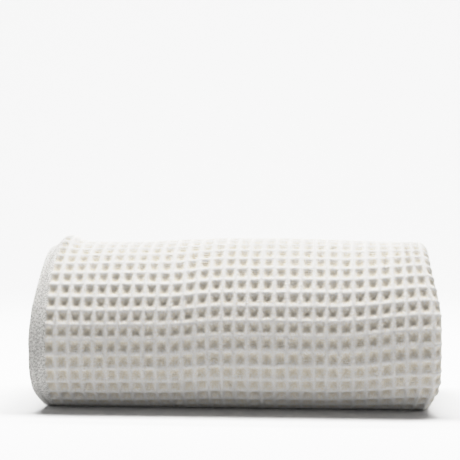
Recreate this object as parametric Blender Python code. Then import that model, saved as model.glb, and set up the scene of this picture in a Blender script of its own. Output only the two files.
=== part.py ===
"""A waffle-weave cotton throw, folded in four along its length and rolled up into a soft oval roll.

Frame: +X along the roll, -Y its front, +Z up. The origin is on the surface that it rests on, under its middle.
Run it with: blender --background --python part.py
"""

import math

import bmesh
import bpy

MM = 0.001

# The throw laid flat.
THROW_WIDTH = 1270 * MM
THROW_LENGTH = 1524 * MM
PLIES = 4

# The cloth, packed in the roll.
PLY_PITCH = 2.93 * MM
CLOTH_THICKNESS = 2.5 * MM
HEM_THICKNESS = 1.7 * MM
HEM_WIDTH = 12.5 * MM
THREAD_THICKNESS = 0.4 * MM
THREAD_WIDTH = 0.8 * MM
SEAM_FROM_EDGE = 5.5 * MM
PIECE_GAP = 0.3 * MM
FOLD_ROUNDING = 0.9 * MM
CLOTH_MARGIN = (PLY_PITCH - CLOTH_THICKNESS) / 2

# The outline of the roll, before the spiral winds inwards from it.
OUTLINE_HALF_DEPTH = 88 * MM
OUTLINE_HEIGHT = 148.5 * MM
OUTLINE_BELLY_HEIGHT = 62.5 * MM
UNDERSIDE_SQUARENESS = 0.85
SETTLING = 3.0 * MM

# Angles run from the top of the roll, over its back. The free end of the throw lies low on the back.
FREE_END_ANGLE = math.radians(128)
LIFT_ANGLE = math.radians(40)
TURN = 2 * math.pi
STATION_STEP = TURN / 24
NEAREST_STATION = 0.2
MEASURING_STEP = TURN / 360

ROLL_WIDTH = THROW_WIDTH / PLIES
BAND_THICKNESS = PLIES * PLY_PITCH
LEFT = -ROLL_WIDTH / 2
RIGHT = ROLL_WIDTH / 2
UNDERSIDE_ANGLE = -math.pi


def outer_depth(angle):
    """Depth of the band's outer face below the outline. It grows by one band thickness for each turn inwards."""
    return BAND_THICKNESS * (FREE_END_ANGLE - angle) / TURN


FLOOR_HEIGHT = outer_depth(UNDERSIDE_ANGLE) + SETTLING


def signed_power(value, power):
    return math.copysign(abs(value) ** power, value)


def wound_point(angle, depth_in_band):
    """(y, z) of a point of the wound band: an oval that shrinks with depth and lies flat on what it rests on."""
    depth = outer_depth(angle) + depth_in_band
    across, up = math.sin(angle), math.cos(angle)
    belly = OUTLINE_BELLY_HEIGHT + (1 - 2 * OUTLINE_BELLY_HEIGHT / OUTLINE_HEIGHT) * depth
    if up >= 0:
        z = belly + (OUTLINE_HEIGHT - depth - belly) * up - FLOOR_HEIGHT
        return (OUTLINE_HALF_DEPTH - depth) * across, z
    y = (OUTLINE_HALF_DEPTH - depth) * signed_power(across, UNDERSIDE_SQUARENESS)
    z = belly + (belly - depth) * signed_power(up, UNDERSIDE_SQUARENESS) - FLOOR_HEIGHT
    turns_below = round((UNDERSIDE_ANGLE - angle) / TURN)
    return y, max(z, turns_below * BAND_THICKNESS + depth_in_band)


def winding_start():
    """The angle at which the band starts in the core, so that its middle is as long as the throw."""
    angle = FREE_END_ANGLE
    last = wound_point(angle, BAND_THICKNESS / 2)
    length = 0.0
    while length < THROW_LENGTH:
        angle -= MEASURING_STEP
        point = wound_point(angle, BAND_THICKNESS / 2)
        length += math.dist(point, last)
        last = point
    return angle


def stations(start, end):
    """The angles of a stretch of the band: its two ends, and every whole station that isn't too near to one."""
    first = math.ceil(start / STATION_STEP + NEAREST_STATION)
    last = math.floor(end / STATION_STEP - NEAREST_STATION)
    return [start] + [index * STATION_STEP for index in range(first, last + 1)] + [end]


def arc_angle(distance, radius):
    """The turn that moves a point by a distance along the band."""
    return distance / radius


def folded_section(left_open_edge, outer_face):
    """Outline of the four plies, as (x, depth) points: a sheet folded in half, and in half again.

    The outer ply joins the fourth round the right side, the fourth joins the third at the left, and the third
    joins the second at the right. The open edges of the first and second plies are at the left.
    """
    top = [ply * PLY_PITCH + CLOTH_MARGIN for ply in range(PLIES)]
    bottom = [depth + CLOTH_THICKNESS for depth in top]
    top[0] = outer_face
    rounding = FOLD_ROUNDING
    inner_right = RIGHT - PLY_PITCH
    inner_left = LEFT + CLOTH_THICKNESS
    return [
        (left_open_edge, top[0]),
        (RIGHT - rounding, top[0]),
        (RIGHT, top[0] + rounding),
        (RIGHT, bottom[3] - rounding),
        (RIGHT - rounding, bottom[3]),
        (LEFT + rounding, bottom[3]),
        (LEFT, bottom[3] - rounding),
        (LEFT, top[2] + rounding),
        (LEFT + rounding, top[2]),
        (inner_right - CLOTH_THICKNESS, top[2]),
        (inner_right - CLOTH_THICKNESS, bottom[1]),
        (left_open_edge, bottom[1]),
        (left_open_edge, top[1]),
        (inner_right - rounding, top[1]),
        (inner_right, top[1] + rounding),
        (inner_right, bottom[2] - rounding),
        (inner_right - rounding, bottom[2]),
        (inner_left, bottom[2]),
        (inner_left, top[3]),
        (RIGHT - CLOTH_THICKNESS, top[3]),
        (RIGHT - CLOTH_THICKNESS, bottom[0]),
        (left_open_edge, bottom[0]),
    ]


# The faces that close an end of the four plies, as places in the outline above.
FOLDED_CAP = [
    (0, 1, 20, 21), (1, 2, 20), (2, 3, 19, 20), (3, 4, 19), (4, 5, 18, 19), (5, 6, 18), (6, 7, 17, 18),
    (7, 8, 17), (8, 9, 16, 17), (9, 15, 16), (9, 10, 14, 15), (10, 13, 14), (10, 11, 12, 13),
]
STRIP_CAP = [(0, 1, 2, 3)]


def strip_section(left, width, top, thickness):
    """Outline of a flat strip that lies in the band."""
    return [(left, top), (left + width, top), (left + width, top + thickness), (left, top + thickness)]


def hem_top(ply):
    """Depth of a hem's outer face. It leaves room for its thread on that side."""
    return ply * PLY_PITCH + PLY_PITCH - HEM_THICKNESS - PIECE_GAP


def thread_top(ply):
    return hem_top(ply) - PIECE_GAP - THREAD_THICKNESS


def winding_centre():
    """The y that puts the middle of the whole roll over the origin."""
    steps = range(round(TURN / MEASURING_STEP))
    outer = [wound_point(FREE_END_ANGLE - MEASURING_STEP * index, 0)[0] for index in steps]
    return (min(outer) + max(outer)) / 2


CENTRE_Y = winding_centre()


def placed(x, angle, depth_in_band):
    """A point of the band in the part's frame, where the outer cloth rests at zero height."""
    y, z = wound_point(angle, depth_in_band)
    return x, y - CENTRE_Y, z - CLOTH_MARGIN


def wound_mesh(name, section, angles):
    """A closed mesh: the section carried along the winding, with a cap on each end."""
    mesh = bmesh.new()
    cap = STRIP_CAP if len(section) == 4 else FOLDED_CAP
    ring = [mesh.verts.new(placed(x, angles[0], depth)) for x, depth in section]
    for face in cap:
        mesh.faces.new([ring[place] for place in reversed(face)])
    for angle in angles[1:]:
        following = [mesh.verts.new(placed(x, angle, depth)) for x, depth in section]
        for index in range(len(section)):
            after = (index + 1) % len(section)
            mesh.faces.new((ring[index], ring[after], following[after], following[index]))
        ring = following
    for face in cap:
        mesh.faces.new([ring[place] for place in face])
    if mesh.calc_volume(signed=True) < 0:
        bmesh.ops.reverse_faces(mesh, faces=mesh.faces)
    data = bpy.data.meshes.new(name)
    mesh.to_mesh(data)
    mesh.free()
    return data


def material(name, colour, roughness):
    made = bpy.data.materials.new(name)
    made.use_nodes = True
    shader = made.node_tree.nodes["Principled BSDF"]
    shader.inputs["Base Color"].default_value = (*colour, 1)
    shader.inputs["Roughness"].default_value = roughness
    shader.inputs["Metallic"].default_value = 0.0
    return made


def add_node(name, section, angles, finish, parent):
    """One sub-part. Its mesh is stored relative to its parent, so that it turns about the parent's place."""
    mesh = wound_mesh(name, section, angles)
    for vertex in mesh.vertices:
        vertex.co -= parent.location
    mesh.materials.append(finish)
    made = bpy.data.objects.new(name, mesh)
    made.parent = parent
    bpy.context.scene.collection.objects.link(made)
    return made


def add_empty(name, location):
    made = bpy.data.objects.new(name, None)
    made.location = location
    bpy.context.scene.collection.objects.link(made)
    return made


def add_side_edges(body, angles, parent, hem_finish, thread_finish):
    """The two side hems, on the open edges of the first and second plies, each with its row of stitching."""
    for ply, edge in enumerate(("a", "b")):
        hem = strip_section(LEFT, HEM_WIDTH, hem_top(ply), HEM_THICKNESS)
        add_node(f"side_hem_{edge}_{body}", hem, angles, hem_finish, parent)
        thread_left = LEFT + SEAM_FROM_EDGE - THREAD_WIDTH / 2
        thread = strip_section(thread_left, THREAD_WIDTH, thread_top(ply), THREAD_THICKNESS)
        add_node(f"side_seam_{edge}_{body}", thread, angles, thread_finish, parent)


def main():
    for leftover in list(bpy.data.objects):
        bpy.data.objects.remove(leftover)
    waffle = material("waffle_cotton", (0.80, 0.78, 0.74), 0.95)
    hem_finish = material("plain_woven_hem", (0.80, 0.79, 0.77), 0.92)
    thread_finish = material("sewing_thread", (0.84, 0.83, 0.81), 0.80)

    start = winding_start()
    hem_turn_core = arc_angle(HEM_WIDTH, OUTLINE_HALF_DEPTH - outer_depth(start) - BAND_THICKNESS / 2)
    hem_turn_end = arc_angle(HEM_WIDTH, OUTLINE_HALF_DEPTH)
    cut_turn = arc_angle(PIECE_GAP, OUTLINE_HALF_DEPTH)
    seam_turn = arc_angle(SEAM_FROM_EDGE, OUTLINE_HALF_DEPTH)
    thread_turn = arc_angle(THREAD_WIDTH, OUTLINE_HALF_DEPTH)
    cloth_start = start + hem_turn_core
    cloth_end = FREE_END_ANGLE - hem_turn_end

    roll = add_empty("roll", (0, 0, 0))
    hinge = add_empty("loose_end_lift", placed(0, LIFT_ANGLE, 0))
    bpy.context.view_layer.update()

    beside_hem = LEFT + HEM_WIDTH + PIECE_GAP
    cloth = folded_section(beside_hem, CLOTH_MARGIN)
    cross_hem = folded_section(beside_hem, hem_top(0))
    wound = stations(cloth_start + cut_turn, LIFT_ANGLE)
    loose = stations(LIFT_ANGLE + cut_turn, cloth_end - cut_turn)
    add_node("rolled_cloth", cloth, wound, waffle, roll)
    add_node("loose_end_cloth", cloth, loose, waffle, hinge)
    add_node("core_hem", cross_hem, stations(start, cloth_start - cut_turn), hem_finish, roll)
    add_node("end_hem", cross_hem, stations(cloth_end, FREE_END_ANGLE), hem_finish, hinge)

    add_side_edges("roll", stations(start, LIFT_ANGLE), roll, hem_finish, thread_finish)
    add_side_edges("end", stations(LIFT_ANGLE + cut_turn, FREE_END_ANGLE), hinge, hem_finish, thread_finish)

    thread = strip_section(beside_hem, RIGHT - FOLD_ROUNDING - beside_hem, thread_top(0), THREAD_THICKNESS)
    core_seam_angle = math.ceil(start / STATION_STEP) * STATION_STEP
    end_seam_angle = FREE_END_ANGLE - seam_turn
    add_node("core_seam", thread, [core_seam_angle - thread_turn, core_seam_angle], thread_finish, roll)
    add_node("end_seam", thread, [end_seam_angle - thread_turn, end_seam_angle], thread_finish, hinge)


main()
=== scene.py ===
"""The looks of a waffle-weave cotton throw, folded in four and rolled up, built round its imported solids.

Run it as a script. It is laid out as an add-on, with one operator for each piece or group of like pieces.
Lengths are in metres. +X runs along the roll from the hemmed edges to the fold, -Y is its front, +Z is up.
"""

import bpy
import numpy as np
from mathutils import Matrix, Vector


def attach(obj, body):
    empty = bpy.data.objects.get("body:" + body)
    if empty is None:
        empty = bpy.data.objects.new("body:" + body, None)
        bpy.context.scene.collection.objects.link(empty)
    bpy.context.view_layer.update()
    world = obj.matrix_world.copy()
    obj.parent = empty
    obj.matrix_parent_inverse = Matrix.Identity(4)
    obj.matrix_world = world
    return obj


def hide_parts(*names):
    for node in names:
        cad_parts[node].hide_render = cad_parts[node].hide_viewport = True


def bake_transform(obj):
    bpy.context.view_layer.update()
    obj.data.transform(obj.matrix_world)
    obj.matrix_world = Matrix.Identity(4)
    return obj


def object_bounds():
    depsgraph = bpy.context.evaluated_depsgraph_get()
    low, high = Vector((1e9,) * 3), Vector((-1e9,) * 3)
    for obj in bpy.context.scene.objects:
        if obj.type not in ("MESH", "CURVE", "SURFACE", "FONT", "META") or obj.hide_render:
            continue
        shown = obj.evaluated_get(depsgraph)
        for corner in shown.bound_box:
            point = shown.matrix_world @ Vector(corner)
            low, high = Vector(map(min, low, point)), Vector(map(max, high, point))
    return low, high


bl_info = {
    "name": "Rolled waffle throw",
    "version": (1, 0, 0),
    "blender": (4, 5, 0),
    "location": "View3D > Sidebar > Throw",
    "description": "Builds the woven cloth, hems and stitching of a rolled throw round its solids",
    "category": "Object",
}

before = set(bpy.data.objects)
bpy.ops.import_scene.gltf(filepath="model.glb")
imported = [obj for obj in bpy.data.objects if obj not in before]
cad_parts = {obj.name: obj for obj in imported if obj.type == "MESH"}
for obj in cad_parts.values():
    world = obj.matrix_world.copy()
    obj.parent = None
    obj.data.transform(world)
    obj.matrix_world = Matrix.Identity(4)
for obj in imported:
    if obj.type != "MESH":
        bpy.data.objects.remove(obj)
CAD_LOW, CAD_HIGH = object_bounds()
MM = 0.001
TURN = 2 * np.pi

# The winding, as in the solids: four plies, an oval outline, and a spiral that grows inwards by one band
# a turn.
PLIES = 4
PLY_PITCH = 2.93 * MM
BAND = PLIES * PLY_PITCH
CLOTH_MARGIN = 0.215 * MM
HALF_DEPTH = 88 * MM
HEIGHT = 148.5 * MM
BELLY = 62.5 * MM
SQUARENESS = 0.85
SETTLING = 3.0 * MM
FREE_END = np.radians(128)
LIFT = np.radians(40)
CORE_END = np.radians(-1872)
UNDERSIDE = -np.pi
LEFT = CAD_LOW.x
RIGHT = CAD_HIGH.x
ANGLE_STEP = np.radians(0.25)


def colour(code):
    """A linear colour from an sRGB hex code."""
    shares = np.array([int(code[place : place + 2], 16) / 255 for place in (0, 2, 4)])
    linear = np.where(shares <= 0.04045, shares / 12.92, ((shares + 0.055) / 1.055) ** 2.4)
    return (*map(float, linear), 1.0)


def length_setting(name, description, millimetres):
    """A length that a user would change."""
    return bpy.props.FloatProperty(
        name=name, description=description, default=millimetres * MM, unit="LENGTH", precision=5
    )


def colour_setting(name, description, code):
    """A colour that a user would change."""
    return bpy.props.FloatVectorProperty(
        name=name, description=description, subtype="COLOR", size=4, min=0, max=1, default=colour(code)
    )


class ThrowSettings(bpy.types.PropertyGroup):
    """The sizes and colours of the throw that a user would change."""

    cell_width: length_setting("Cell width", "Width of one cell of the waffle weave, across the throw", 10.12)
    cell_height: length_setting(
        "Cell height", "Height of one cell on the outside of the roll, where it is stretched", 11.55
    )
    relief: length_setting("Relief", "Depth of a cell from the top of its ridges", 3.6)
    ridge_share: bpy.props.FloatProperty(
        name="Ridge share", description="Share of a cell's width that its ridge takes", default=0.23,
    )
    hem_width: length_setting("Hem width", "Width of the plain woven hem along each edge", 12.5)
    stitch_length: length_setting("Stitch length", "Length of one stitch and its gap", 3.2)
    # The ridge colour is the cloth's own. The cell colour is a darker, warmer copy of it: painted shade,
    # which the material mixes in by how deep a cell is.
    ridge_colour: colour_setting("Ridge colour", "Colour of the worn, open yarn on the ridges", "E9E8E6")
    pit_colour: colour_setting("Cell colour", "Colour of the denser yarn deep in the cells", "E3DAC8")
    hem_colour: colour_setting("Hem colour", "Colour of the plain woven hem", "F0EFEC")
    # The speck colour marks the hem's random specks, and it also darkens the needle dimples along the seam as
    # painted shade.
    speck_colour: colour_setting("Speck colour", "Colour between the yarns of the hem", "A8A5A0")
    thread_colour: colour_setting("Thread colour", "Colour of the sewing thread", "E2E1DE")
    paper_colour: colour_setting("Backdrop colour", "Colour of the studio paper", "DEDEDE")


# ----------------------------------------------------------------------------------------------------
# The winding
# ----------------------------------------------------------------------------------------------------


def outer_depth(angle):
    """Depth of the band's outer face below the outline: one band for each turn from the free end."""
    return BAND * (FREE_END - angle) / TURN


FLOOR = outer_depth(UNDERSIDE) + SETTLING


def raised(value, power):
    """The value's size raised to a power, with its sign kept."""
    return np.sign(value) * np.abs(value) ** power


def wound(angle, depth_in_band):
    """(y, z) of the wound band, as in the solids.

    Across is the half depth less the point's depth, times the sine of the angle; up is the height above the
    belly, times the cosine. Under the belly both are raised to a power, which squares the underside off, and
    nothing there sinks below the turns that lie under it.
    """
    depth = outer_depth(angle) + depth_in_band
    across, up = np.sin(angle), np.cos(angle)
    belly = BELLY + (1 - 2 * BELLY / HEIGHT) * depth
    upper_z = belly + (HEIGHT - depth - belly) * up
    lower_z = belly + (belly - depth) * raised(up, SQUARENESS)
    turns_below = np.round((UNDERSIDE - angle) / TURN)
    lower_z = np.maximum(lower_z - FLOOR, turns_below * BAND + depth_in_band) + FLOOR
    y = (HALF_DEPTH - depth) * np.where(up >= 0, across, raised(across, SQUARENESS))
    return y, np.where(up >= 0, upper_z, lower_z) - FLOOR


ANGLES = np.arange(CORE_END, FREE_END + ANGLE_STEP, ANGLE_STEP)
OUTER_Y, OUTER_Z = wound(ANGLES, 0 * ANGLES)
LAST_TURN = ANGLES > FREE_END - TURN
CENTRE_Y = (OUTER_Y[LAST_TURN].min() + OUTER_Y[LAST_TURN].max()) / 2
ALONG = np.concatenate([[0.0], np.cumsum(np.hypot(np.diff(OUTER_Y), np.diff(OUTER_Z)))])


def along_at(angle):
    """Length of the band's outer face from its core end to an angle."""
    return np.interp(angle, ANGLES, ALONG)


def angle_at(along):
    """The angle at a length along the band's outer face."""
    return np.interp(along, ALONG, ANGLES)


# ----------------------------------------------------------------------------------------------------
# Soft irregularity, worked out from seeded lattices
# ----------------------------------------------------------------------------------------------------


def smoothstep(value):
    """0 below 0, 1 above 1, and 3 t squared less 2 t cubed between."""
    t = np.clip(value, 0, 1)
    return t * t * (3 - 2 * t)


LATTICE = 64


def lattice_noise(x, y, seed, period=LATTICE):
    """Smooth noise from -1 to 1: random values on a whole-number lattice, eased between its points.

    It repeats along y after the period.
    """
    values = np.random.default_rng(seed).uniform(-1, 1, (LATTICE, LATTICE))
    column, row = np.floor(x).astype(int), np.floor(y).astype(int)
    right, up = smoothstep(x - column), smoothstep(y - row)
    column, next_column = column % LATTICE, (column + 1) % LATTICE
    row, next_row = row % period, (row + 1) % period
    low = values[row, column] * (1 - right) + values[row, next_column] * right
    high = values[next_row, column] * (1 - right) + values[next_row, next_column] * right
    return low * (1 - up) + high * up


def bell(value, centre, width):
    """1 at the centre, falling away like a bell curve."""
    return np.exp(-(((value - centre) / width) ** 2))


def waves_round(x, angle, length, count, offset, seed):
    """Noise with waves of a length along the roll, and a whole number of them round each turn."""
    return lattice_noise(x / length + offset, angle / TURN * count + 3 * count, seed, count)


SLUMP_FADE = 40 * MM
CROWN_SWELL = 4.2 * MM
FOLD_FALL = 3.6 * MM
HEM_FALL = 3.4 * MM
WAVE_HEIGHT = 0.50 * MM
RIPPLE_HEIGHT = 0.22 * MM
EAR_LIFT = 5.6 * MM
EAR_PLACE = 16 * MM
EAR_WIDTH = 8.5 * MM
EAR_DIP = 4.0 * MM
EAR_EDGE = 9 * MM
CURL_FADE = 3 * MM
CURL_ANGLE = 0.05
CURL_SPREAD = 0.30


def slump(x, angle, depth_in_band):
    """How far the soft cloth stands out of the ideal roll.

    A shallow swell over the crown, which falls off towards both ends, and slow random waves, which fade
    towards the core, and the curled corner of the outermost hem.
    """
    near_fold = smoothstep((x - 20 * MM) / (140 * MM))
    near_hem = smoothstep(-x / (90 * MM))
    crown = CROWN_SWELL - FOLD_FALL * near_fold - HEM_FALL * near_hem
    waves = WAVE_HEIGHT * waves_round(x, angle, 45 * MM, 13, 9, 3)
    ripples = RIPPLE_HEIGHT * waves_round(x, angle, 15 * MM, 31, 17, 4)
    underneath = smoothstep((-np.cos(angle) - 0.75) / 0.2)
    swell = crown * np.maximum(np.cos(angle), 0) ** 2 + (waves + ripples) * (1 - underneath)
    dip = EAR_DIP * smoothstep((LEFT + EAR_EDGE - x) / EAR_EDGE)
    ear = EAR_LIFT * bell(x, LEFT + EAR_PLACE, EAR_WIDTH) - dip
    curl = ear * bell(angle, CURL_ANGLE, CURL_SPREAD)
    fade = np.exp(-(outer_depth(angle) + depth_in_band) / SLUMP_FADE)
    return swell * fade + curl * np.exp(-depth_in_band / CURL_FADE)


HEM_DRAW = 5.0 * MM
HEM_DRAW_LENGTH = 15 * MM
TOP_DRAW = 9.0 * MM
BELLY_DRAW = 8.0 * MM
FOLD_DRAW_LENGTH = 34 * MM


def drawn_in(x, angle, depth_in_band):
    """How far the ends are drawn in towards the middle, over the crown and under the belly."""
    fade = np.exp(-(outer_depth(angle) + depth_in_band) / SLUMP_FADE)
    crown = smoothstep((np.cos(angle) - 0.15) / 0.75)
    top = smoothstep((np.cos(angle) - 0.30) / 0.70)
    belly = smoothstep((-np.cos(angle) - 0.45) / 0.45)
    near_hem = smoothstep((LEFT + HEM_DRAW_LENGTH - x) / HEM_DRAW_LENGTH)
    near_fold = smoothstep((x - RIGHT + FOLD_DRAW_LENGTH) / FOLD_DRAW_LENGTH)
    hem = near_hem * (HEM_DRAW * crown + HEM_DRAW * belly)
    return fade * (hem - near_fold * (TOP_DRAW * top + BELLY_DRAW * belly))


END_DRIFT = 0.8 * MM
LEAST_HEIGHT = 0.05 * MM


def placed(x, angle, depth_in_band):
    """(..., 3) points of the wound band in the part's frame, with the slump taken off their depth."""
    y, z = wound(angle, depth_in_band - slump(x, angle, depth_in_band))
    drift = END_DRIFT * lattice_noise(angle / 1.9 + 20, 0 * angle + 0.5, 11)
    drawn = x + drift + drawn_in(x, angle, depth_in_band)
    above_ground = np.maximum(z - CLOTH_MARGIN, LEAST_HEIGHT)
    return np.stack([drawn, y - CENTRE_Y, above_ground], axis=-1)


# ----------------------------------------------------------------------------------------------------
# The waffle weave
# ----------------------------------------------------------------------------------------------------


# Each step: how far the rows slip, where along the roll it starts, and the length over which it comes in.
ROW_STEPS = ((3.5 * MM, -57 * MM, 48 * MM), (5.9 * MM, 74 * MM, 76 * MM))
ROW_SHIFT = 4.9 * MM
SKEW_START = 20 * MM
SKEW_FROM_END = 110 * MM
SKEW_FROM_CORE = 200 * MM


def row_skew(x, along):
    """How far the rows of cells have slipped round the roll: the same slip everywhere, and two soft steps.

    The throw was rolled a little askew. The slip fades away towards the free end's hem and towards the core.
    """
    steps = sum(size * smoothstep((x - start) / length) for size, start, length in ROW_STEPS)
    from_end = ALONG[-1] - along
    slip = (steps + ROW_SHIFT) * smoothstep((from_end - SKEW_START) / SKEW_FROM_END)
    return slip * smoothstep((along - SKEW_START) / SKEW_FROM_CORE)


def soft_ramp(value, rounding):
    """The value where it is above 0 and 0 below, with a rounded corner."""
    return 0.5 * (value + np.sqrt(value * value + rounding * rounding))


def cell_distance(u, v):
    """(rounded, square) distance from the middle of a cell, 1 at its ridges.

    Rounded is the sixth root of the sum of both distances' sixth powers. Square is the larger of the two.
    """
    across = 2 * np.abs(u - np.floor(u) - 0.5)
    up = 2 * np.abs(v - np.floor(v) - 0.5)
    return (across**6 + up**6 + 1e-6) ** (1 / 6), np.maximum(across, up)


WALL_ROUNDING = 0.07
WALL_STEEPNESS = 1.12
PIT_FLOOR = 0.1
PIT_VARIETY = 0.12
CORD_HEIGHT = 0.09
WARP_HEIGHT = 0.06


def relief_at(u, v, settings):
    """(height, sunk) of the weave. Height is in shares of the relief: 0 at a shoulder, -1 in a pit.

    A cell is an upside-down pyramid with rounded edges, its walls steepest at the top. A ridge is rounded
    like a cord. Sunk runs from 0 on the ridges to about 1 in the middle of a cell: pits vary in depth.
    """
    rounded, square = cell_distance(u, v)
    edge = 1 - settings.ridge_share
    sunk = soft_ramp(edge - rounded, WALL_ROUNDING) / soft_ramp(edge - PIT_FLOOR, WALL_ROUNDING)
    varied = 1 + PIT_VARIETY * lattice_noise(np.floor(u) * 0.73 + 3, np.floor(v) * 0.79, 31)
    sunk = np.minimum(1 - (1 - np.minimum(sunk, 1)) ** WALL_STEEPNESS, 1) * varied
    cord = 1 - np.clip((1 - square) / settings.ridge_share, 0, 1)
    warp_cord = 1 - np.clip((1 - 2 * np.abs(u - np.floor(u) - 0.5)) / settings.ridge_share, 0, 1)
    raised_cord = CORD_HEIGHT * (1 - (1 - cord) ** 2) + WARP_HEIGHT * (1 - (1 - warp_cord) ** 2)
    return raised_cord - sunk, np.clip(sunk, 0, 1)


# ----------------------------------------------------------------------------------------------------
# The fold: the throw's width, carried through four plies
# ----------------------------------------------------------------------------------------------------

SHEET_HALF = 1.25 * MM
OUTER_BEND = 1.5 * PLY_PITCH
INNER_BEND = 0.5 * PLY_PITCH
RIGHT_TURN = RIGHT - OUTER_BEND - SHEET_HALF
LEFT_TURN = LEFT + INNER_BEND + SHEET_HALF
TUCKED_TURN = RIGHT - 2 * PLY_PITCH - INNER_BEND

# Each stretch: its length across the throw, then its start and end, or a bend's centre, radius and side.
STRETCHES = (
    ("run", RIGHT_TURN - LEFT, (LEFT, 0.5), (RIGHT_TURN, 0.5)),
    ("bend", np.pi * OUTER_BEND, (RIGHT_TURN, 2.0), OUTER_BEND, 1),
    ("run", RIGHT_TURN - LEFT_TURN, (RIGHT_TURN, 3.5), (LEFT_TURN, 3.5)),
    ("bend", np.pi * INNER_BEND, (LEFT_TURN, 3.0), INNER_BEND, -1),
    ("run", TUCKED_TURN - LEFT_TURN, (LEFT_TURN, 2.5), (TUCKED_TURN, 2.5)),
    ("tuck", np.pi * INNER_BEND, (TUCKED_TURN, 2.0), INNER_BEND, 1),
    ("run", TUCKED_TURN - LEFT, (TUCKED_TURN, 1.5), (LEFT, 1.5)),
)
STARTS = np.concatenate([[0.0], np.cumsum([stretch[1] for stretch in STRETCHES])])
SHEET_WIDTH = STARTS[-1]


def folded(across):
    """(x, depth, normal x, normal depth) of the sheet's middle at each length across the throw.

    The normal points out of the throw's right side, which is outermost on the roll. A run is a straight line
    between its two ends. A bend is half a circle: x = centre +- radius * sine, and depth = centre -+ radius *
    cosine.
    """
    x, depth = np.zeros_like(across), np.zeros_like(across)
    normal_x, normal_depth = np.zeros_like(across), np.zeros_like(across)
    for index, (kind, length, first, second, *side) in enumerate(STRETCHES):
        here = (across >= STARTS[index]) & (across <= STARTS[index + 1])
        t = (across[here] - STARTS[index]) / length
        if kind == "run":
            x[here] = first[0] + (second[0] - first[0]) * t
            depth[here] = PLY_PITCH * (first[1] + (second[1] - first[1]) * t)
            normal_x[here] = 0
            normal_depth[here] = -1 if second[0] > first[0] else 1
            continue
        sine, cosine = np.sin(np.pi * t), np.cos(np.pi * t)
        rising = 1 if side[0] > 0 else -1
        way = -1 if kind == "bend" and rising > 0 else 1
        x[here] = first[0] + rising * second * sine
        depth[here] = PLY_PITCH * first[1] + way * second * cosine
        outward = -1 if kind == "tuck" else 1
        normal_x[here] = outward * rising * sine
        normal_depth[here] = outward * way * cosine
    return x, depth, normal_x, normal_depth


# ----------------------------------------------------------------------------------------------------
# Meshes
# ----------------------------------------------------------------------------------------------------


def grid_faces(rows, columns, first=0, wrapped=False):
    """The quads of a grid of points, row by row. A wrapped grid's last column joins its first."""
    index = first + np.arange(rows * columns).reshape(rows, columns)
    after = np.roll(index, -1, axis=1)
    low, low_next, high, high_next = index[:-1], after[:-1], index[1:], after[1:]
    if not wrapped:
        low, low_next, high, high_next = low[:, :-1], low_next[:, :-1], high[:, :-1], high_next[:, :-1]
    return np.stack([low, low_next, high_next, high], axis=-1).reshape(-1, 4)


def add_piece(name, points, faces, uv, sunk=None):
    """A smooth-shaded mesh object at the origin, with its UV map and, for cloth, its depth in the weave."""
    mesh = bpy.data.meshes.new(name)
    mesh.vertices.add(len(points))
    mesh.vertices.foreach_set("co", points.astype(np.float32).ravel())
    mesh.loops.add(faces.size)
    mesh.loops.foreach_set("vertex_index", faces.astype(np.int32).ravel())
    mesh.polygons.add(len(faces))
    mesh.polygons.foreach_set("loop_start", np.arange(0, faces.size, faces.shape[1], dtype=np.int32))
    mesh.polygons.foreach_set("use_smooth", np.ones(len(faces), bool))
    mesh.update(calc_edges=True)
    layer = mesh.uv_layers.new(name="weave")
    layer.data.foreach_set("uv", uv[faces.ravel()].astype(np.float32).ravel())
    if sunk is not None:
        attribute = mesh.attributes.new("sunk", "FLOAT", "POINT")
        attribute.data.foreach_set("value", sunk.astype(np.float32).ravel())
    mesh.validate()
    piece = bpy.data.objects.new(name, mesh)
    bpy.context.scene.collection.objects.link(piece)
    return piece


FINE = (0.0, 0.09, 0.16, 0.31, 0.50, 0.69, 0.84, 0.91)
MEDIUM = (0.0, 0.15, 0.50, 0.85)
LEAST_STEP = 0.03


def cell_lines(start, end, steps):
    """Lines from start to end at the same steps in each cell, closest where a ridge turns into a wall."""
    lines = (np.arange(np.floor(start), np.ceil(end))[:, None] + np.array(steps)).ravel()
    inside = lines[(lines > start + LEAST_STEP) & (lines < end - LEAST_STEP)]
    return np.concatenate([[start], inside, [end]])


COLUMN_PHASE = 0.15
SEAM_PULL = 3.4 * MM
PULLED_CELLS = 9.0


def across_at(u, settings):
    """Length across the throw at u cells: the hem's seam pulls the first few cells beside it together."""
    from_hem = u - COLUMN_PHASE
    pulled = SEAM_PULL * smoothstep(from_hem / PULLED_CELLS)
    return settings.hem_width + from_hem * settings.cell_width - pulled


def column_at(across, settings):
    """Cells across the throw at a length across it: the other way round, read off a table."""
    columns = np.arange(0, SHEET_WIDTH / settings.cell_width + 2, 0.05) + COLUMN_PHASE
    return float(np.interp(across, across_at(columns, settings), columns))


NEAR_WANDER = 0.035
FAR_WANDER_ACROSS = 0.03
FAR_WANDER_ALONG = 0.05


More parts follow.
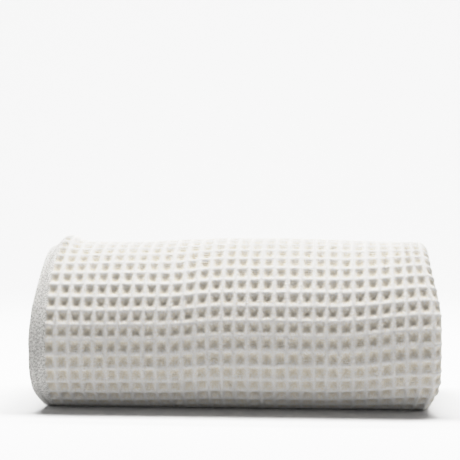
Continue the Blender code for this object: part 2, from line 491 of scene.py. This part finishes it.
def cloth_grid(u, v, settings, textured):
    """Points, UV and depth in the weave of the cloth's right side, u cells across and v from the free end.

    The ridges wander by a few hundredths of a cell. Each point lies on the folded sheet's middle, moved along
    its normal by half the sheet and by the weave's height there.
    """
    across = across_at(u, settings)
    wander_u = NEAR_WANDER * lattice_noise(u / 2.3 + 5, v / 4.1 + 7, 21)
    wander_u = wander_u + FAR_WANDER_ACROSS * lattice_noise(u / 9 + 5, v / 7 + 7, 22)
    wander_v = NEAR_WANDER * lattice_noise(u / 4.3 + 5, v / 2.1 + 7, 23)
    wander_v = wander_v + FAR_WANDER_ALONG * lattice_noise(u / 9 + 5, v / 7 + 7, 24)
    held = smoothstep((across - settings.hem_width) / settings.cell_width)
    held = held * smoothstep((SHEET_WIDTH - settings.hem_width - across) / settings.cell_width)
    x, depth, normal_x, normal_depth = folded(across + wander_u * held * settings.cell_width)
    along = ALONG[-1] - settings.hem_width - v * settings.cell_height
    along = along + row_skew(x, along) + wander_v * smoothstep(v) * settings.cell_height
    height, sunk = relief_at(u, v, settings)
    lift = SHEET_HALF + settings.relief * height * textured
    points = placed(x + normal_x * lift, angle_at(along), depth + normal_depth * lift)
    return points, np.stack([u, v], axis=-1), sunk * textured


def cloth_piece(name, patches, settings):
    """One object from patches of cloth, each with its u lines, its v lines and its strength of texture."""
    points, uvs, depths, faces = [], [], [], []
    count = 0
    for u_lines, v_lines, textured in patches:
        u, v = np.meshgrid(u_lines, v_lines[::-1])
        here, uv, sunk = cloth_grid(u, v, settings, np.broadcast_to(textured, u.shape))
        faces.append(grid_faces(*u.shape, first=count))
        points.append(here.reshape(-1, 3))
        uvs.append(uv.reshape(-1, 2))
        depths.append(sunk.ravel())
        count += u.size
    return add_piece(name, *map(np.concatenate, (points, faces, uvs, depths)))


def cap_faces(sides):
    """The quads that close an even ring: each joins two neighbours to the two points that mirror them."""
    near = np.arange(sides // 2 - 1)
    return np.stack([near, near + 1, sides - 2 - near, sides - 1 - near], axis=-1)


def tube_faces(tubes, rows, sides):
    """The quads of closed tubes whose points are stored ring by ring."""
    wall, cap = grid_faces(rows, sides, wrapped=True), cap_faces(sides)
    one = np.concatenate([wall, cap[:, ::-1], cap + (rows - 1) * sides])
    return (one[None] + (np.arange(tubes) * rows * sides)[:, None, None]).reshape(-1, 4)


def outward(points, faces):
    """The faces, turned over if the volume that they enclose comes out negative.

    The volume is a sixth of the sum over the faces of their first corner times the cross product of their
    diagonals.
    """
    corners = points[faces]
    across = np.cross(corners[:, 2] - corners[:, 0], corners[:, 3] - corners[:, 1])
    return faces if np.sum(corners[:, 0] * across) > 0 else faces[:, ::-1]


HEM_SQUARENESS = 5


def rounded_profile(half_width, half_thickness, sides):
    """(a, b) round a rounded rectangle: a is a cosine.

    As shares of the half width and half thickness, a and b raised to the squareness add up to one.
    """
    turn = TURN * (np.arange(sides) + 0.5) / sides
    a = np.cos(turn)
    b = np.sign(np.sin(turn)) * (1 - np.abs(a) ** HEM_SQUARENESS) ** (1 / HEM_SQUARENESS)
    return half_width * a, half_thickness * b


def add_tubes(name, points, uv):
    """An object of one or more closed tubes, from (tubes, rings, sides, 3) points."""
    tubes, rows, sides = points.shape[:3]
    flat = points.reshape(-1, 3)
    faces = outward(flat, tube_faces(tubes, rows, sides))
    return add_piece(name, flat, faces, uv.reshape(-1, 2))


HEM_HALF = 0.95 * MM
HEM_SINK = 0.35 * MM
HEM_TUCK = 0.6 * MM
HEM_STEP = 0.9 * MM
HEM_RING = 2.5 * MM
HEM_SIDES = 40
CROSS_HEM_HALF = 0.9 * HEM_HALF
CROSS_HEM_RING = 1.6 * MM
CROSS_HEM_SIDES = 20
SIDE_PUCKER = 0.16 * MM
CROSS_PUCKER = 0.14 * MM
PUCKER_REACH = 6 * MM
EDGE_WAVE = 0.35 * MM
EDGE_REACH = 4 * MM
PIECE_GAP = 0.3 * MM
SEAM_FROM_EDGE = 5.8 * MM
SEAM_GROOVE = 0.80 * MM
SEAM_WIDTH = 1.0 * MM
YARN = 1.1 * MM


def side_hem(name, ply, along_start, along_end, settings):
    """A hem along one open edge: a rounded band, puckered at each row and pulled in along its seam."""
    rings = int(np.ceil((along_end - along_start) / HEM_RING)) + 1
    along = np.linspace(along_start, along_end, rings)[:, None]
    half_width = (settings.hem_width + HEM_TUCK) / 2
    a, b = rounded_profile(half_width, HEM_HALF, HEM_SIDES)
    x = LEFT + ply * HEM_STEP + half_width + a[None] + 0 * along
    groove = SEAM_GROOVE * bell(x, LEFT + SEAM_FROM_EDGE, SEAM_WIDTH) * (b < 0)
    inner_edge = bell(x, LEFT + settings.hem_width, PUCKER_REACH)
    pucker = SIDE_PUCKER * np.cos(TURN * along / settings.cell_height) * inner_edge
    edge_wave = EDGE_WAVE * lattice_noise(along / (9 * MM), 0 * along + ply + 0.5, 41)
    depth = ply * PLY_PITCH + HEM_SINK + HEM_HALF + b[None] + groove - pucker
    outer_edge = smoothstep((LEFT + EDGE_REACH - x) / EDGE_REACH)
    points = placed(x + edge_wave * outer_edge, angle_at(along + 0 * x), depth)
    uv = np.stack([(x - LEFT) / YARN, along / YARN + 0 * x], axis=-1)
    return add_tubes(name, points[None], uv)


def cross_hem(name, along_middle, settings):
    """A hem across the throw, carried through the four plies."""
    start, end = settings.hem_width + PIECE_GAP, SHEET_WIDTH - settings.hem_width - PIECE_GAP
    across = np.linspace(start, end, int((end - start) / CROSS_HEM_RING))[:, None]
    half_width = settings.hem_width / 2
    a, b = rounded_profile(half_width, CROSS_HEM_HALF, CROSS_HEM_SIDES)
    x, depth, normal_x, normal_depth = folded(across)
    groove = SEAM_GROOVE * bell(a, SEAM_FROM_EDGE - half_width, SEAM_WIDTH) * (b > 0)
    inner_edge = bell(a, -half_width, PUCKER_REACH)
    pucker = CROSS_PUCKER * np.cos(TURN * across / settings.cell_width) * inner_edge
    out = b[None] - groove[None] + pucker + 0 * across
    along = along_middle + a[None] + 0 * across
    points = placed(x + normal_x * out, angle_at(along), depth + normal_depth * out)
    from_edge = a[None] + half_width + 0 * across
    uv = np.stack([from_edge / YARN, across / YARN + 0 * along], axis=-1)
    return add_tubes(name, points[None], uv)


STITCH_RINGS = 6
STITCH_SIDES = 6
STITCH_RADIUS = 0.42 * MM
STITCH_SHARE = 0.66
STITCH_SLANT = 0.12 * MM
STITCH_ARCH = 0.30 * MM


def stitch_tubes(count, length, place):
    """(points, UV) of a row of stitches, where place maps (forward, aside, up) to points.

    Each is a thin thread that is thickest in its middle and rises there in a low arch: both follow the sine
    of pi times how far along the stitch it is.
    """
    number = np.arange(count)[:, None, None]
    t = np.linspace(0, 1, STITCH_RINGS)[None, :, None]
    turn = (TURN * (np.arange(STITCH_SIDES) + 0.5) / STITCH_SIDES)[None, None, :]
    radius = STITCH_RADIUS * (0.55 + 0.45 * np.sin(np.pi * t))
    forward = (number + 0.5 * (1 - STITCH_SHARE) + STITCH_SHARE * t) * length + 0 * turn
    aside = radius * np.cos(turn) + STITCH_SLANT * (t - 0.5) + 0 * number
    up = radius * np.sin(turn) + STITCH_ARCH * np.sin(np.pi * t) + 0 * number
    points = place(forward, aside, up)
    uv = np.stack([aside / YARN, forward / YARN], axis=-1)
    return points, uv


def side_seam(name, ply, along_start, along_end, settings):
    """The stitching along a side hem."""
    length = settings.stitch_length
    along_start = np.ceil(along_start / length) * length
    count = int((along_end - along_start) / length)
    surface = ply * PLY_PITCH + HEM_SINK + SEAM_GROOVE

    def place(forward, aside, up):
        return placed(LEFT + SEAM_FROM_EDGE + aside, angle_at(along_start + forward), surface - up)

    return add_tubes(name, *stitch_tubes(count, length, place))


def cross_seam(name, along, settings):
    """The stitching across the throw on a cross hem, where the outer ply shows it."""
    length = settings.stitch_length
    start = np.ceil((settings.hem_width + PIECE_GAP) / length) * length
    count = int((RIGHT_TURN - LEFT - start) / length)

    def place(forward, aside, up):
        x, depth, _, _ = folded(start + forward)
        return placed(x, angle_at(along + aside), depth - CROSS_HEM_HALF + SEAM_GROOVE - up)

    return add_tubes(name, *stitch_tubes(count, length, place))


# ----------------------------------------------------------------------------------------------------
# Materials
# ----------------------------------------------------------------------------------------------------


def node(tree, kind, values=None, links=None, **choices):
    """Adds a node with its choices, the values of its inputs and the sockets that feed them."""
    made = tree.nodes.new(kind)
    for name, choice in choices.items():
        setattr(made, name, choice)
    for key, value in (values or {}).items():
        made.inputs[key].default_value = value
    for key, socket in (links or {}).items():
        tree.links.new(socket, made.inputs[key])
    return made


def new_material(name):
    """An empty material and its node tree."""
    made = bpy.data.materials.new(name)
    made.use_nodes = True
    made.node_tree.nodes.clear()
    return made, made.node_tree


YARNS_IN_CELL = 9


def washed_waffle_cotton(settings):
    """Washed cotton waffle, woven from soft two-ply yarn.

    The eye sees matte, slightly fuzzy ridges that catch cool light, and down in the cells, where the floats
    step inwards as nested squares, a darker, warmer colour: painted shade, mixed in by the cells' depth.
    Yarns lie about 1.1 mm apart, nine to a cell.
    """
    made, tree = new_material("washed_waffle_cotton")
    uv = node(tree, "ShaderNodeUVMap", uv_map="weave")
    parts = node(tree, "ShaderNodeSeparateXYZ", links={0: uv.outputs[0]})
    across = node(tree, "ShaderNodeMath", {1: 0.5}, {0: parts.outputs[0]}, operation="PINGPONG")
    up = node(tree, "ShaderNodeMath", {1: 0.5}, {0: parts.outputs[1]}, operation="PINGPONG")
    nested = node(
        tree, "ShaderNodeMath", None, {0: across.outputs[0], 1: up.outputs[0]}, operation="MINIMUM"
    )
    phase = node(
        tree, "ShaderNodeMath", {1: TURN * YARNS_IN_CELL}, {0: nested.outputs[0]}, operation="MULTIPLY"
    )
    floats = node(tree, "ShaderNodeMath", None, {0: phase.outputs[0]}, operation="SINE")
    twist = node(
        tree, "ShaderNodeTexNoise", {"Scale": 6.5, "Detail": 3.0, "Roughness": 0.7}, {0: uv.outputs[0]}
    )
    fuzz = node(tree, "ShaderNodeTexNoise", {"Scale": 26.0, "Detail": 2.0}, {0: uv.outputs[0]})
    sunk = node(tree, "ShaderNodeAttribute", attribute_name="sunk")
    deep = node(tree, "ShaderNodeMapRange", {1: 0.05, 2: 0.75, 3: 0.05, 4: 0.28}, {0: sunk.outputs["Fac"]})
    yarn = node(
        tree, "ShaderNodeMath", None, {0: floats.outputs[0], 1: deep.outputs[0]}, operation="MULTIPLY"
    )
    rough_yarn = node(
        tree, "ShaderNodeMath", {1: 2.2},
        {0: twist.outputs["Fac"], 2: yarn.outputs[0]}, operation="MULTIPLY_ADD",
    )
    height = node(
        tree, "ShaderNodeMath", {1: 0.9},
        {0: fuzz.outputs["Fac"], 2: rough_yarn.outputs[0]}, operation="MULTIPLY_ADD",
    )
    bump = node(
        tree, "ShaderNodeBump", {"Strength": 1.0, "Distance": 0.80 * MM}, {"Height": height.outputs[0]}
    )
    mottle = node(
        tree, "ShaderNodeMapRange", {1: 0.30, 2: 0.70, 3: -0.62, 4: 0.55}, {0: twist.outputs["Fac"]}
    )
    # Painted shade: the deeper a cell, the more of the darker, warmer cell colour, with the yarn's random
    # mottle added on top.
    share = node(tree, "ShaderNodeMath", {1: 0.55}, {0: sunk.outputs["Fac"]}, operation="POWER")
    shade_and_mottle = node(
        tree, "ShaderNodeMath", None,
        {0: share.outputs[0], 1: mottle.outputs[0]}, operation="ADD", use_clamp=True,
    )
    tint = node(
        tree, "ShaderNodeMix", {6: settings.ridge_colour, 7: settings.pit_colour},
        {0: shade_and_mottle.outputs[0]}, data_type="RGBA",
    )
    shader = node(
        tree, "ShaderNodeBsdfPrincipled",
        {"Roughness": 0.93, "Sheen Weight": 0.25, "Sheen Roughness": 0.5, "Specular IOR Level": 0.25},
        {"Base Color": tint.outputs[2], "Normal": bump.outputs[0]},
    )
    node(tree, "ShaderNodeOutputMaterial", None, {0: shader.outputs[0]})
    return made


def plain_weave_cotton(settings):
    """The same cotton in a close plain weave, folded over and stitched.

    The eye sees a flat, finely speckled band, with a row of dimples where the needle went in between two
    stitches, darkened with the speck colour as painted shade. Its yarns would lie 0.5 mm apart, too fine to
    show, so the pattern is drawn twice as coarse.
    """
    made, tree = new_material("plain_weave_cotton")
    uv = node(tree, "ShaderNodeUVMap", uv_map="weave")
    parts = node(tree, "ShaderNodeSeparateXYZ", links={0: uv.outputs[0]})
    waves = []
    for axis in (0, 1):
        phase = node(tree, "ShaderNodeMath", {1: np.pi}, {0: parts.outputs[axis]}, operation="MULTIPLY")
        waves.append(node(tree, "ShaderNodeMath", None, {0: phase.outputs[0]}, operation="SINE"))
    crossing = node(
        tree, "ShaderNodeMath", None, {0: waves[0].outputs[0], 1: waves[1].outputs[0]}, operation="MULTIPLY"
    )
    slub = node(
        tree, "ShaderNodeTexNoise", {"Scale": 0.62, "Detail": 4.0, "Roughness": 0.8}, {0: uv.outputs[0]}
    )
    aside = node(
        tree, "ShaderNodeMath", {1: SEAM_FROM_EDGE / YARN}, {0: parts.outputs[0]}, operation="SUBTRACT"
    )
    aside = node(tree, "ShaderNodeMath", None, {0: aside.outputs[0]}, operation="ABSOLUTE")
    near = node(tree, "ShaderNodeMapRange", {1: 0.15, 2: 0.95, 3: 1.0, 4: 0.0}, {0: aside.outputs[0]})
    pace = node(
        tree, "ShaderNodeMath", {1: TURN * YARN / settings.stitch_length},
        {0: parts.outputs[1]}, operation="MULTIPLY",
    )
    pace = node(tree, "ShaderNodeMath", None, {0: pace.outputs[0]}, operation="COSINE")
    between = node(tree, "ShaderNodeMapRange", {1: 0.0, 2: 0.9, 3: 0.15, 4: 0.7}, {0: pace.outputs[0]})
    dimple = node(
        tree, "ShaderNodeMath", None, {0: near.outputs[0], 1: between.outputs[0]}, operation="MULTIPLY"
    )
    weave = node(
        tree, "ShaderNodeMath", {1: 2.4},
        {0: slub.outputs["Fac"], 2: crossing.outputs[0]}, operation="MULTIPLY_ADD",
    )
    height = node(
        tree, "ShaderNodeMath", {1: -3.0},
        {0: dimple.outputs[0], 2: weave.outputs[0]}, operation="MULTIPLY_ADD",
    )
    bump = node(
        tree, "ShaderNodeBump", {"Strength": 1.0, "Distance": 0.60 * MM}, {"Height": height.outputs[0]}
    )
    specks = node(tree, "ShaderNodeMapRange", {1: 0.42, 2: 0.66, 3: 0.0, 4: 1.0}, {0: slub.outputs["Fac"]})
    # The specks fall at random. The needle dimples take the same darker colour as painted shade.
    share = node(
        tree, "ShaderNodeMath", None, {0: specks.outputs[0], 1: dimple.outputs[0]}, operation="MAXIMUM"
    )
    tint = node(
        tree, "ShaderNodeMix", {6: settings.hem_colour, 7: settings.speck_colour},
        {0: share.outputs[0]}, data_type="RGBA",
    )
    shader = node(
        tree, "ShaderNodeBsdfPrincipled",
        {"Roughness": 0.92, "Sheen Weight": 0.2, "Sheen Roughness": 0.5, "Specular IOR Level": 0.25},
        {"Base Color": tint.outputs[2], "Normal": bump.outputs[0]},
    )
    node(tree, "ShaderNodeOutputMaterial", None, {0: shader.outputs[0]})
    return made


def mercerised_thread(settings):
    """Mercerised cotton thread, two strands twisted: smoother and a little brighter than the cloth."""
    made, tree = new_material("mercerised_thread")
    uv = node(tree, "ShaderNodeUVMap", uv_map="weave")
    strands = node(
        tree, "ShaderNodeTexWave", {"Scale": 1.4, "Distortion": 0.6},
        {0: uv.outputs[0]}, bands_direction="DIAGONAL",
    )
    bump = node(
        tree, "ShaderNodeBump", {"Strength": 0.5, "Distance": 0.08 * MM}, {"Height": strands.outputs["Fac"]}
    )
    tint = node(
        tree, "ShaderNodeMix", {6: settings.hem_colour, 7: settings.thread_colour},
        {0: strands.outputs["Fac"]}, data_type="RGBA",
    )
    shader = node(
        tree, "ShaderNodeBsdfPrincipled", {"Roughness": 0.7, "Specular IOR Level": 0.4, "Sheen Weight": 0.1},
        {"Base Color": tint.outputs[2], "Normal": bump.outputs[0]},
    )
    node(tree, "ShaderNodeOutputMaterial", None, {0: shader.outputs[0]})
    return made


def studio_paper(settings):
    """Seamless matte background paper: an even, faintly fibrous white with no gloss."""
    made, tree = new_material("studio_paper")
    where = node(tree, "ShaderNodeTexCoord")
    fibre = node(tree, "ShaderNodeTexNoise", {"Scale": 400.0, "Detail": 2.0}, {0: where.outputs["Object"]})
    bump = node(
        tree, "ShaderNodeBump", {"Strength": 0.05, "Distance": 0.1 * MM}, {"Height": fibre.outputs["Fac"]}
    )
    shader = node(
        tree, "ShaderNodeBsdfPrincipled",
        {"Base Color": settings.paper_colour, "Roughness": 1.0, "Specular IOR Level": 0.0},
        {"Normal": bump.outputs[0]},
    )
    node(tree, "ShaderNodeOutputMaterial", None, {0: shader.outputs[0]})
    return made


# ----------------------------------------------------------------------------------------------------
# Where the pieces meet
# ----------------------------------------------------------------------------------------------------

LIFT_CLEARANCE = 12 * MM
FOLD_REACH = 30 * MM
BEND_REACH = 6 * MM


def rows_at(along, settings):
    """Cells from the free end's hem to a length along the band."""
    return (ALONG[-1] - settings.hem_width - along) / settings.cell_height


def along_row(row, settings):
    """Length along the band at a number of cells from the free end's hem."""
    return ALONG[-1] - settings.hem_width - row * settings.cell_height


def split_row(settings):
    """The row where the roll's cloth ends and the loose end's starts: a ridge a little before the hinge."""
    return float(np.ceil(rows_at(along_at(LIFT) - LIFT_CLEARANCE, settings)))


def covered_row(settings):
    """The row where the closely modelled outer turn ends: one turn in from the hinge, always covered."""
    return float(np.ceil(rows_at(along_at(LIFT - TURN), settings)))


def core_row(settings):
    """The row that meets the hem at the core."""
    return rows_at(settings.hem_width, settings)


def first_column(settings):
    """The column at the hem line."""
    return column_at(settings.hem_width, settings)


def shown_column(settings):
    """The column just round the outer fold, where the closely modelled ply ends."""
    return column_at(STARTS[2] + BEND_REACH, settings)


def last_column(settings):
    """The column at the other hem line, on the innermost ply."""
    return column_at(SHEET_WIDTH - settings.hem_width, settings)


def tucked_columns(start, end, settings):
    """(columns, texture) of the hidden plies: relief on close lines near both ends, few flat ones between."""
    columns = cell_lines(start, end, MEDIUM)
    x = folded(across_at(columns, settings))[0]
    from_end = np.minimum(x - LEFT, RIGHT - x)
    kept = (from_end < FOLD_REACH) | (np.arange(len(columns)) % (2 * len(MEDIUM)) == 0)
    kept[[0, -1]] = True
    return columns[kept], smoothstep(2 - 2 * from_end / FOLD_REACH)[kept]


def finish_piece(piece, make_material, nodes, lifted=False):
    """Gives a piece its material in a new slot and hides the CAD parts that it stands for. Any other piece is
    put under the roll's body; a lifted one is left out of it, with its place baked into its mesh.
    """
    made = bpy.data.materials.get(make_material.__name__) or make_material(bpy.context.scene.throw)
    piece.data.materials.append(made)
    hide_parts(*nodes)
    if lifted:
        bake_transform(piece)
    else:
        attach(piece, "roll")


# ----------------------------------------------------------------------------------------------------
# Operators
# ----------------------------------------------------------------------------------------------------


class THROW_OT_rolled_cloth(bpy.types.Operator):
    """Weaves the rolled part of the cloth: the turn that shows, and the plies and turns inside it."""

    bl_idname = "throw.rolled_cloth"
    bl_label = "Rolled cloth"

    def execute(self, context):
        settings = context.scene.throw
        split, covered, core = split_row(settings), covered_row(settings), core_row(settings)
        first, shown, last = first_column(settings), shown_column(settings), last_column(settings)
        patch = (cell_lines(first, shown, FINE), cell_lines(split, covered, FINE), 1.0)
        outer = cloth_piece("rolled_weave_outside", [patch], settings)
        finish_piece(outer, washed_waffle_cotton, ["rolled_cloth"])

        rest, rest_texture = tucked_columns(shown, last, settings)
        whole, whole_texture = tucked_columns(first, last, settings)
        inside = cloth_piece(
            "rolled_weave_inside",
            [
                (rest, cell_lines(split, covered, MEDIUM), rest_texture),
                (whole, cell_lines(covered, core, MEDIUM), whole_texture),
            ],
            settings,
        )
        finish_piece(inside, washed_waffle_cotton, ["rolled_cloth"])
        return {"FINISHED"}


class THROW_OT_loose_end_cloth(bpy.types.Operator):
    """Weaves the free end of the cloth, all four plies, which lies on the back of the roll past the hinge."""

    bl_idname = "throw.loose_end_cloth"
    bl_label = "Loose end cloth"

    def execute(self, context):
        settings = context.scene.throw
        split = split_row(settings)
        first, last = first_column(settings), last_column(settings)
        under = column_at(STARTS[3], settings)
        inner, inner_texture = tucked_columns(under, last, settings)
        rows = cell_lines(0.0, split, FINE)
        patches = [(cell_lines(first, under, FINE), rows, 1.0), (inner, rows, inner_texture)]
        piece = cloth_piece("loose_end_weave", patches, settings)
        finish_piece(piece, washed_waffle_cotton, ["loose_end_cloth"], lifted=True)
        return {"FINISHED"}


class THROW_OT_side_hems(bpy.types.Operator):
    """Makes the plain woven hems along both open edges, which lie one over the other at the left end."""

    bl_idname = "throw.side_hems"
    bl_label = "Side hems"

    def execute(self, context):
        settings = context.scene.throw
        split = along_row(split_row(settings), settings)
        for letter, ply in (("a", 0), ("b", 1)):
            for part, start, end in (("roll", 0.0, split), ("end", split, ALONG[-1])):
                name = f"side_hem_{letter}_{part}"
                piece = side_hem(name + "_band", ply, start, end, settings)
                finish_piece(piece, plain_weave_cotton, [name], lifted=part == "end")
        return {"FINISHED"}


class THROW_OT_cross_hems(bpy.types.Operator):
    """Makes the hems at the core and at the free end, carried through all four plies."""

    bl_idname = "throw.cross_hems"
    bl_label = "Cross hems"

    def execute(self, context):
        settings = context.scene.throw
        from_edge = settings.hem_width / 2
        for name, along, lifted in (("core_hem", from_edge, False), ("end_hem", ALONG[-1] - from_edge, True)):
            piece = cross_hem(name + "_band", along, settings)
            finish_piece(piece, plain_weave_cotton, [name], lifted)
        return {"FINISHED"}


class THROW_OT_side_seams(bpy.types.Operator):
    """Sews the row of stitches along each side hem."""

    bl_idname = "throw.side_seams"
    bl_label = "Side seams"

    def execute(self, context):
        settings = context.scene.throw
        split = along_row(split_row(settings), settings)
        for letter, ply in (("a", 0), ("b", 1)):
            for part, start, end in (("roll", 0.0, split), ("end", split, ALONG[-1] - MM)):
                name = f"side_seam_{letter}_{part}"
                piece = side_seam(name + "_stitches", ply, start, end, settings)
                finish_piece(piece, mercerised_thread, [name], lifted=part == "end")
        return {"FINISHED"}


class THROW_OT_cross_seams(bpy.types.Operator):
    """Sews the row of stitches along the hem at the core and the one at the free end."""

    bl_idname = "throw.cross_seams"
    bl_label = "Cross seams"

    def execute(self, context):
        settings = context.scene.throw
        for name, along, lifted in (
            ("core_seam", SEAM_FROM_EDGE, False),
            ("end_seam", ALONG[-1] - SEAM_FROM_EDGE, True),
        ):
            piece = cross_seam(name + "_stitches", along, settings)
            finish_piece(piece, mercerised_thread, [name], lifted)
        return {"FINISHED"}


SWEEP_REACH = 2.2
SWEEP_BEND = 0.9
SWEEP_TOP = 1.25
SWEEP_HUB = 0.02
SWEEP_SIDES = 128
SWEEP_RINGS = 24


class THROW_OT_stage(bpy.types.Operator):
    """Sets up the white paper sweep, which rises all round like a bowl, the soft lights and the camera."""

    bl_idname = "throw.stage"
    bl_label = "Stage"

    def execute(self, context):
        settings = context.scene.throw
        turn = np.linspace(0, TURN / 4, SWEEP_RINGS)
        bend = SWEEP_REACH - SWEEP_BEND + SWEEP_BEND * np.sin(turn)
        rise = SWEEP_BEND - SWEEP_BEND * np.cos(turn)
        reach = np.concatenate([[SWEEP_HUB], bend, [SWEEP_REACH]])[:, None]
        height = np.concatenate([[0], rise, [SWEEP_TOP]])[:, None]
        bearing = TURN * np.arange(SWEEP_SIDES)[None] / SWEEP_SIDES
        rings = reach * np.cos(bearing), reach * np.sin(bearing), height + 0 * bearing
        points = np.stack(rings, axis=-1)
        faces = grid_faces(*points.shape[:2], wrapped=True)
        faces = np.concatenate([faces[:, ::-1], cap_faces(SWEEP_SIDES)])
        points = points.reshape(-1, 3)
        sweep = add_piece("paper_sweep", points, faces, points[:, :2])
        sweep.data.materials.append(studio_paper(settings))

        world = bpy.data.worlds.new("studio_white")
        world.use_nodes = True
        world.node_tree.nodes["Background"].inputs["Color"].default_value = (1, 1, 1, 1)
        world.node_tree.nodes["Background"].inputs["Strength"].default_value = WORLD_STRENGTH
        context.scene.world = world
        for name, place, aim, size, power in LIGHTS:
            lamp = bpy.data.lights.new(name, "AREA")
            lamp.shape = "RECTANGLE"
            lamp.size, lamp.size_y = size
            lamp.energy = power
            light = bpy.data.objects.new(name, lamp)
            light.location = place
            light.rotation_euler = (Vector(aim) - Vector(place)).to_track_quat("-Z", "Y").to_euler()
            context.scene.collection.objects.link(light)

        lens = bpy.data.cameras.new("camera")
        lens.lens = LENS
        lens.sensor_width = SENSOR
        camera = bpy.data.objects.new("camera", lens)
        centre = Vector((0, 0, (CAD_LOW.z + CAD_HIGH.z) / 2))
        way = Vector(
            (np.sin(AZIMUTH) * np.cos(ELEVATION), -np.cos(AZIMUTH) * np.cos(ELEVATION), np.sin(ELEVATION))
        )
        camera.location = centre + way * DISTANCE
        aim = centre + Vector((AIM_ASIDE, 0, AIM_ABOVE))
        camera.rotation_euler = (aim - camera.location).to_track_quat("-Z", "Y").to_euler()
        context.scene.collection.objects.link(camera)
        context.scene.camera = camera
        view = context.scene.view_settings
        view.view_transform = "Standard"
        view.use_curve_mapping = True
        view.curve_mapping.white_level = (TONE_WHITE,) * 3
        curve = view.curve_mapping.curves[3]
        curve.points[0].location, curve.points[-1].location = TONE_POINTS[0], TONE_POINTS[-1]
        for brightness, shown in TONE_POINTS[1:-1]:
            curve.points.new(brightness, shown)
        view.curve_mapping.update()
        return {"FINISHED"}


WORLD_STRENGTH = 0.08
# Each lamp: its name, where it stands, where it points, its width and height, and its power in watts.
LIGHTS = (
    ("softbox_above", (0.0, 0.05, 1.30), (0.0, 0.0, 0.0), (1.6, 0.5), 43.0),
    ("softbox_front", (0.0, -1.60, 1.10), (0.0, 0.0, 0.05), (1.6, 0.8), 0.6),
    ("backdrop_light", (0.0, 1.00, 1.90), (0.0, 2.2, 0.35), (3.0, 0.4), 59.0),
)
# Film-like tones: dim light is shown about an eighth darker, and brighter light is held back more and more.
# Each point is a share of the white level, and how bright it is shown.
TONE_WHITE = 2.4
TONE_POINTS = (
    (0.0, 0.0), (0.1, 0.21), (0.2, 0.425), (0.3, 0.62), (0.42, 0.80),
    (0.56, 0.895), (0.67, 0.945), (0.8, 0.973), (1.0, 0.985),
)
LENS = 100
SENSOR = 36
AZIMUTH = np.radians(4)
ELEVATION = np.radians(5.2)
DISTANCE = 1.062
AIM_ASIDE = -0.0088
AIM_ABOVE = 0.0760

OPERATORS = (
    THROW_OT_rolled_cloth,
    THROW_OT_loose_end_cloth,
    THROW_OT_side_hems,
    THROW_OT_cross_hems,
    THROW_OT_side_seams,
    THROW_OT_cross_seams,
    THROW_OT_stage,
)


class THROW_PT_sidebar(bpy.types.Panel):
    """Lists the throw's sizes and colours, and the operators that build it."""

    bl_idname = "THROW_PT_sidebar"
    bl_label = "Rolled waffle throw"
    bl_space_type = "VIEW_3D"
    bl_region_type = "UI"
    bl_category = "Throw"

    def draw(self, context):
        for name in ThrowSettings.__annotations__:
            self.layout.prop(context.scene.throw, name)
        for operator in OPERATORS:
            self.layout.operator(operator.bl_idname)


def register():
    for made in (ThrowSettings, *OPERATORS, THROW_PT_sidebar):
        bpy.utils.register_class(made)
    bpy.types.Scene.throw = bpy.props.PointerProperty(type=ThrowSettings)


def unregister():
    del bpy.types.Scene.throw
    for made in (THROW_PT_sidebar, *reversed(OPERATORS), ThrowSettings):
        bpy.utils.unregister_class(made)


def main():
    """Builds every piece and the stage."""
    register()
    for operator in OPERATORS:
        category, name = operator.bl_idname.split(".")
        getattr(getattr(bpy.ops, category), name)()


if __name__ == "__main__":
    main()
